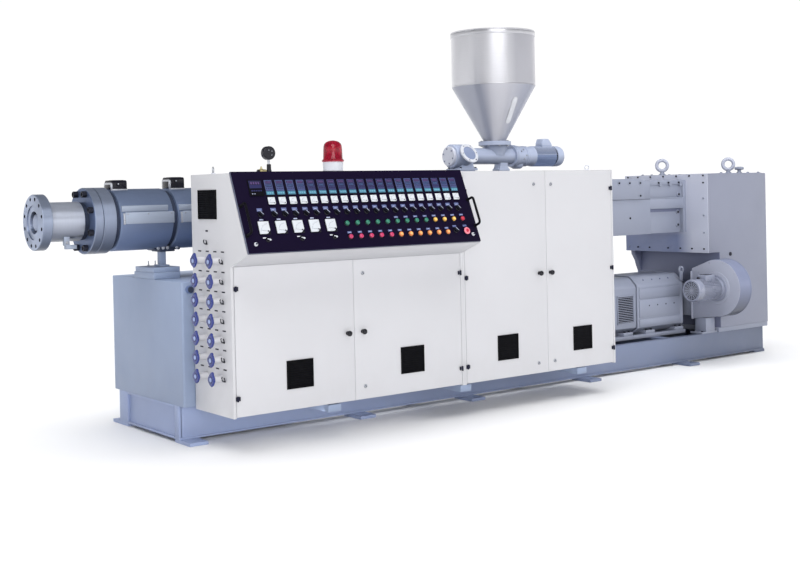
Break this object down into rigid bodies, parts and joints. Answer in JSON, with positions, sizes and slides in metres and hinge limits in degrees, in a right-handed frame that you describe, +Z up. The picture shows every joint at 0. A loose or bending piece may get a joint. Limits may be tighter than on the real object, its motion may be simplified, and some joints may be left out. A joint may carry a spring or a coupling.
{
  "type": "plastic extruder with screw feeder, drive and control cabinets",
  "caption": "Plastic extruder: heated barrel with die flange, hopper and screw feeder, gearbox, motor and blower on a steel base behind hinged control cabinets",
  "frame": {"origin": "middle of the machine's footprint box, on the floor", "axes": "+X along the screw from the die to the drive, +Y from the operator's side to the rear, +Z up"},
  "size_m": [5.276, 1.4098, 2.198],
  "materials": {
    "frame_paint": "satin blue-grey machine paint",
    "drive_paint": "satin blue-grey machine paint on castings",
    "machined_steel": "turned steel",
    "stainless": "brushed stainless sheet",
    "white_paint": "off-white powder coat",
    "black_plastic": "matt black",
    "panel_black": "satin black panel sheet",
    "blue_plastic": "moulded blue",
    "red_lens": "ribbed translucent lens"
  },
  "bodies": {
    "machine": {"barrel": "machined_steel", "barrel_flange": "machined_steel", "barrel_post": "frame_paint", "base_beams": "frame_paint", "base_cross_members": "frame_paint", "beacon_base": "white_paint", "beacon_lamp": "red_lens", "blower_bracket": "drive_paint", "blower_motor": "drive_paint", "blower_scroll": "drive_paint", "cabinet_backs": "white_paint", "cabinet_floors": "white_paint", "cabinet_outriggers": "frame_paint", "cabinet_partition": "white_paint", "cabinet_tops": "white_paint", "cabinet_walls": "white_paint", "coupling_guard": "drive_paint", "desk_ends": "white_paint", "desk_underside": "white_paint", "die_flange": "machined_steel", "die_neck": "machined_steel", "feed_throat": "machined_steel", "feeder_gearbox": "drive_paint", "feeder_inlet": "stainless", "feeder_motor": "drive_paint", "feeder_sight_port": "white_paint", "feeder_supports": "stainless", "feeder_tube": "stainless", "foot_plates": "frame_paint", "gear_case": "drive_paint", "gearbox_case": "drive_paint", "gearbox_face_plate": "drive_paint", "gearbox_foot": "drive_paint", "gearbox_gusset": "drive_paint", "heater_jackets": "stainless", "heater_terminal_boxes": "black_plastic", "hopper_cone": "stainless", "hopper_cylinder": "stainless", "hopper_lid": "stainless", "lifting_eyes": "drive_paint", "motor_end_housing": "drive_paint", "motor_frame": "drive_paint", "motor_rails": "drive_paint", "pressure_gauge": "black_plastic", "support_block": "frame_paint", "support_box": "frame_paint", "wing_sockets": "blue_plastic"},
    "door_1": {"door_1": "white_paint", "door_1_fittings": "black_plastic"},
    "door_2": {"door_2": "white_paint", "door_2_fittings": "black_plastic"},
    "door_3": {"door_3": "white_paint", "door_3_fittings": "black_plastic"},
    "door_4": {"door_4": "white_paint", "door_4_fittings": "black_plastic"},
    "control_panel": {"control_panel": "panel_black", "panel_handles": "black_plastic"}
  },
  "joints": [
    {"name": "door_1_hinge", "type": "hinge", "parent": "machine", "child": "door_1", "pos_m": [-1.982, -0.52308, 0.52], "axis": [0, 0, -1], "range_deg": [0, 110]},
    {"name": "door_2_hinge", "type": "hinge", "parent": "machine", "child": "door_2", "pos_m": [-0.622, -0.52308, 0.52], "axis": [0, 0, 1], "range_deg": [0, 90]},
    {"name": "door_3_hinge", "type": "hinge", "parent": "machine", "child": "door_3", "pos_m": [-0.582, -0.52308, 0.74], "axis": [0, 0, -1], "range_deg": [0, 90]},
    {"name": "door_4_hinge", "type": "hinge", "parent": "machine", "child": "door_4", "pos_m": [0.549, -0.52308, 0.74], "axis": [0, 0, 1], "range_deg": [0, 110]},
    {"name": "control_panel_hinge", "type": "hinge", "parent": "machine", "child": "control_panel", "pos_m": [-1.302, -0.52355, 1.32068], "axis": [-1, 0, 0], "range_deg": [0, 75]}
  ]
}
